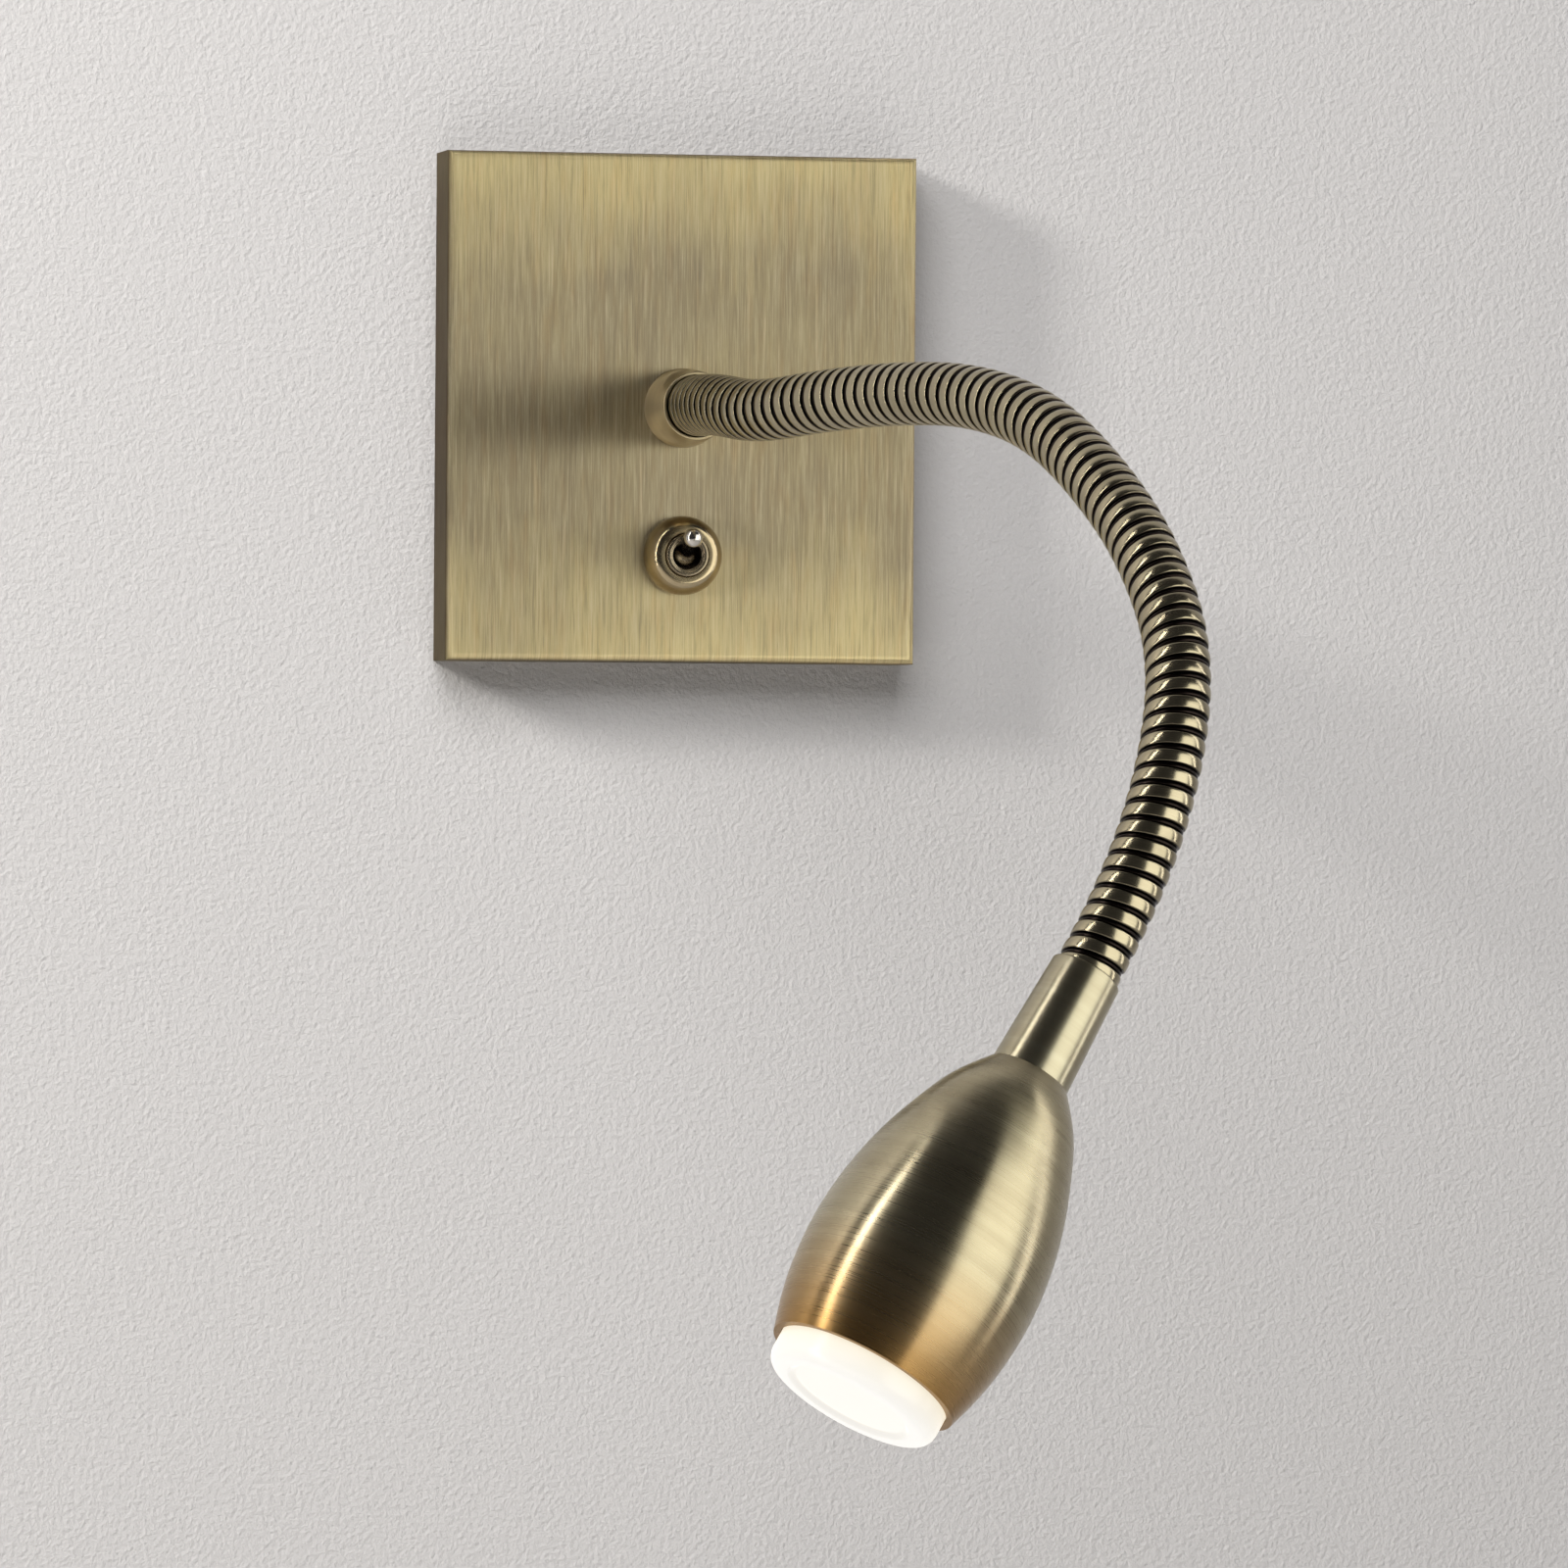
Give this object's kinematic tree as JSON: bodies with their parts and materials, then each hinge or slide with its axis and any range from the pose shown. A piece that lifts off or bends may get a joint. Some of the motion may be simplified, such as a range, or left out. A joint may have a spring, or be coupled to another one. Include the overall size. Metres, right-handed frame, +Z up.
{
  "type": "bedside wall reading lamp",
  "caption": "Wall reading lamp with a square brass plate, toggle switch, flexible gooseneck arm and a bullet-shaped spotlight head.",
  "frame": {"origin": "on the wall, behind the middle of the wall plate and midway between the two wall screws", "axes": "+Z up the wall, +X to the right as seen from the room, -Y out of the wall into the room"},
  "size_m": [0.103, 0.2723, 0.2401],
  "materials": {
    "plate_brass": "antique brass, brushed upright",
    "turned_brass": "antique brass, polished",
    "head_brass": "antique brass, brushed round",
    "flex_brass": "brass wire, polished and lacquered",
    "zinc_steel": "bright zinc",
    "chrome": "nickel plated",
    "switch_black": "moulded",
    "tag_metal": "tinned",
    "driver_white": "moulded",
    "board_white": "white solder mask",
    "board_green": "green solder mask",
    "terminal_clear": "natural moulding",
    "wire_brown": "insulation",
    "wire_blue": "insulation",
    "wire_earth": "insulation",
    "lead_black": "sheath",
    "sink_aluminium": "turned",
    "emitter": "phosphor",
    "seal_rubber": "silicone",
    "opal": "opal, lit"
  },
  "bodies": {
    "base": {"wall_plate": "plate_brass", "wall_bracket": "zinc_steel", "cover_screws": "zinc_steel", "collar": "turned_brass", "arm_nipple": "zinc_steel", "arm_washer": "zinc_steel", "arm_nut": "zinc_steel", "switch_body": "switch_black", "switch_bushing": "chrome", "switch_washer": "zinc_steel", "switch_back_nut": "zinc_steel", "switch_dress_nut": "turned_brass", "switch_tags": "tag_metal", "driver_case": "driver_white", "driver_lid": "driver_white", "driver_board": "board_green", "terminal_block": "terminal_clear", "terminal_screws": "zinc_steel", "earth_screw": "zinc_steel", "live_wire": "wire_brown", "switched_wire": "wire_brown", "neutral_wire": "wire_blue", "earth_wire": "wire_earth", "gooseneck_root": "flex_brass", "lead_root": "lead_black"},
    "switch_lever": {"switch_lever": "chrome"},
    "arm_01": {"gooseneck_01": "flex_brass", "lead_01": "lead_black"},
    "arm_02": {"gooseneck_02": "flex_brass", "lead_02": "lead_black"},
    "arm_03": {"gooseneck_03": "flex_brass", "lead_03": "lead_black"},
    "arm_04": {"gooseneck_04": "flex_brass", "lead_04": "lead_black"},
    "arm_05": {"gooseneck_05": "flex_brass", "lead_05": "lead_black"},
    "arm_06": {"gooseneck_06": "flex_brass", "lead_06": "lead_black"},
    "arm_07": {"gooseneck_07": "flex_brass", "lead_07": "lead_black"},
    "arm_08": {"gooseneck_08": "flex_brass", "lead_08": "lead_black"},
    "arm_09": {"gooseneck_09": "flex_brass", "lead_09": "lead_black"},
    "arm_10": {"gooseneck_10": "flex_brass", "lead_10": "lead_black"},
    "arm_11": {"gooseneck_11": "flex_brass", "lead_11": "lead_black"},
    "head": {"gooseneck_tip": "flex_brass", "lead_tip": "lead_black", "neck": "turned_brass", "head_nipple": "zinc_steel", "head_nut": "zinc_steel", "head_shell": "head_brass", "heat_sink": "sink_aluminium", "led_board": "board_white", "led_emitter": "emitter", "board_screws": "zinc_steel", "diffuser_seal": "seal_rubber", "diffuser": "opal"}
  },
  "joints": [
    {"name": "bend_01_sway", "type": "hinge", "parent": "base", "child": "arm_01", "pos_m": [0, -0.032, 0], "axis": [0, 0, 1], "range_deg": [-24, 16], "deforming": ["lead_root", "lead_01"]},
    {"name": "bend_02_nod", "type": "hinge", "parent": "arm_01", "child": "arm_02", "pos_m": [0.0017, -0.05638, -0.00128], "axis": [0.9903, 0.1392, 0], "range_deg": [-24, 10], "deforming": ["lead_02"]},
    {"name": "bend_03_sway", "type": "hinge", "parent": "arm_02", "child": "arm_03", "pos_m": [0.00741, -0.08013, -0.00171], "axis": [-0.0227, 0.066, 0.9976], "range_deg": [-24, 16], "deforming": ["lead_03"]},
    {"name": "bend_04_nod", "type": "hinge", "parent": "arm_03", "child": "arm_04", "pos_m": [0.01617, -0.10296, -0.00043], "axis": [0.9205, 0.3907, 0], "range_deg": [-24, 10], "deforming": ["lead_04"]},
    {"name": "bend_05_sway", "type": "hinge", "parent": "arm_04", "child": "arm_05", "pos_m": [0.02535, -0.12567, -0.00043], "axis": [0.0125, -0.0326, 0.9994], "range_deg": [-24, 16], "deforming": ["lead_05"]},
    {"name": "bend_06_nod", "type": "hinge", "parent": "arm_05", "child": "arm_06", "pos_m": [0.03366, -0.14849, -0.00341], "axis": [0.9455, 0.3256, 0], "range_deg": [-24, 10], "deforming": ["lead_06"]},
    {"name": "bend_07_sway", "type": "hinge", "parent": "arm_06", "child": "arm_07", "pos_m": [0.04061, -0.17044, -0.01157], "axis": [0.1251, -0.4364, 0.891], "range_deg": [-24, 16], "deforming": ["lead_07"]},
    {"name": "bend_08_nod", "type": "hinge", "parent": "arm_07", "child": "arm_08", "pos_m": [0.04605, -0.19071, -0.02418], "axis": [0.9703, 0.2419, 0], "range_deg": [-24, 10], "deforming": ["lead_08"]},
    {"name": "bend_09_sway", "type": "hinge", "parent": "arm_08", "child": "arm_09", "pos_m": [0.04964, -0.20865, -0.04039], "axis": [0.1034, -0.7359, 0.6691], "range_deg": [-24, 16], "deforming": ["lead_09"]},
    {"name": "bend_10_nod", "type": "hinge", "parent": "arm_09", "child": "arm_10", "pos_m": [0.04843, -0.2222, -0.06057], "axis": [0.9135, -0.4067, 0], "range_deg": [-24, 10], "deforming": ["lead_10"]},
    {"name": "bend_11_sway", "type": "hinge", "parent": "arm_10", "child": "arm_11", "pos_m": [0.04154, -0.23042, -0.08252], "axis": [-0.7538, -0.4895, 0.4384], "range_deg": [-24, 16], "deforming": ["lead_11"]},
    {"name": "bend_12_nod", "type": "hinge", "parent": "arm_11", "child": "head", "pos_m": [0.03066, -0.23592, -0.10374], "axis": [0.3746, -0.9272, 0], "range_deg": [-24, 10], "deforming": ["lead_tip"]},
    {"name": "switch_toggle", "type": "hinge", "parent": "base", "child": "switch_lever", "pos_m": [0, -0.016, -0.029], "axis": [1, 0, 0], "range_deg": [0, 40]}
  ]
}
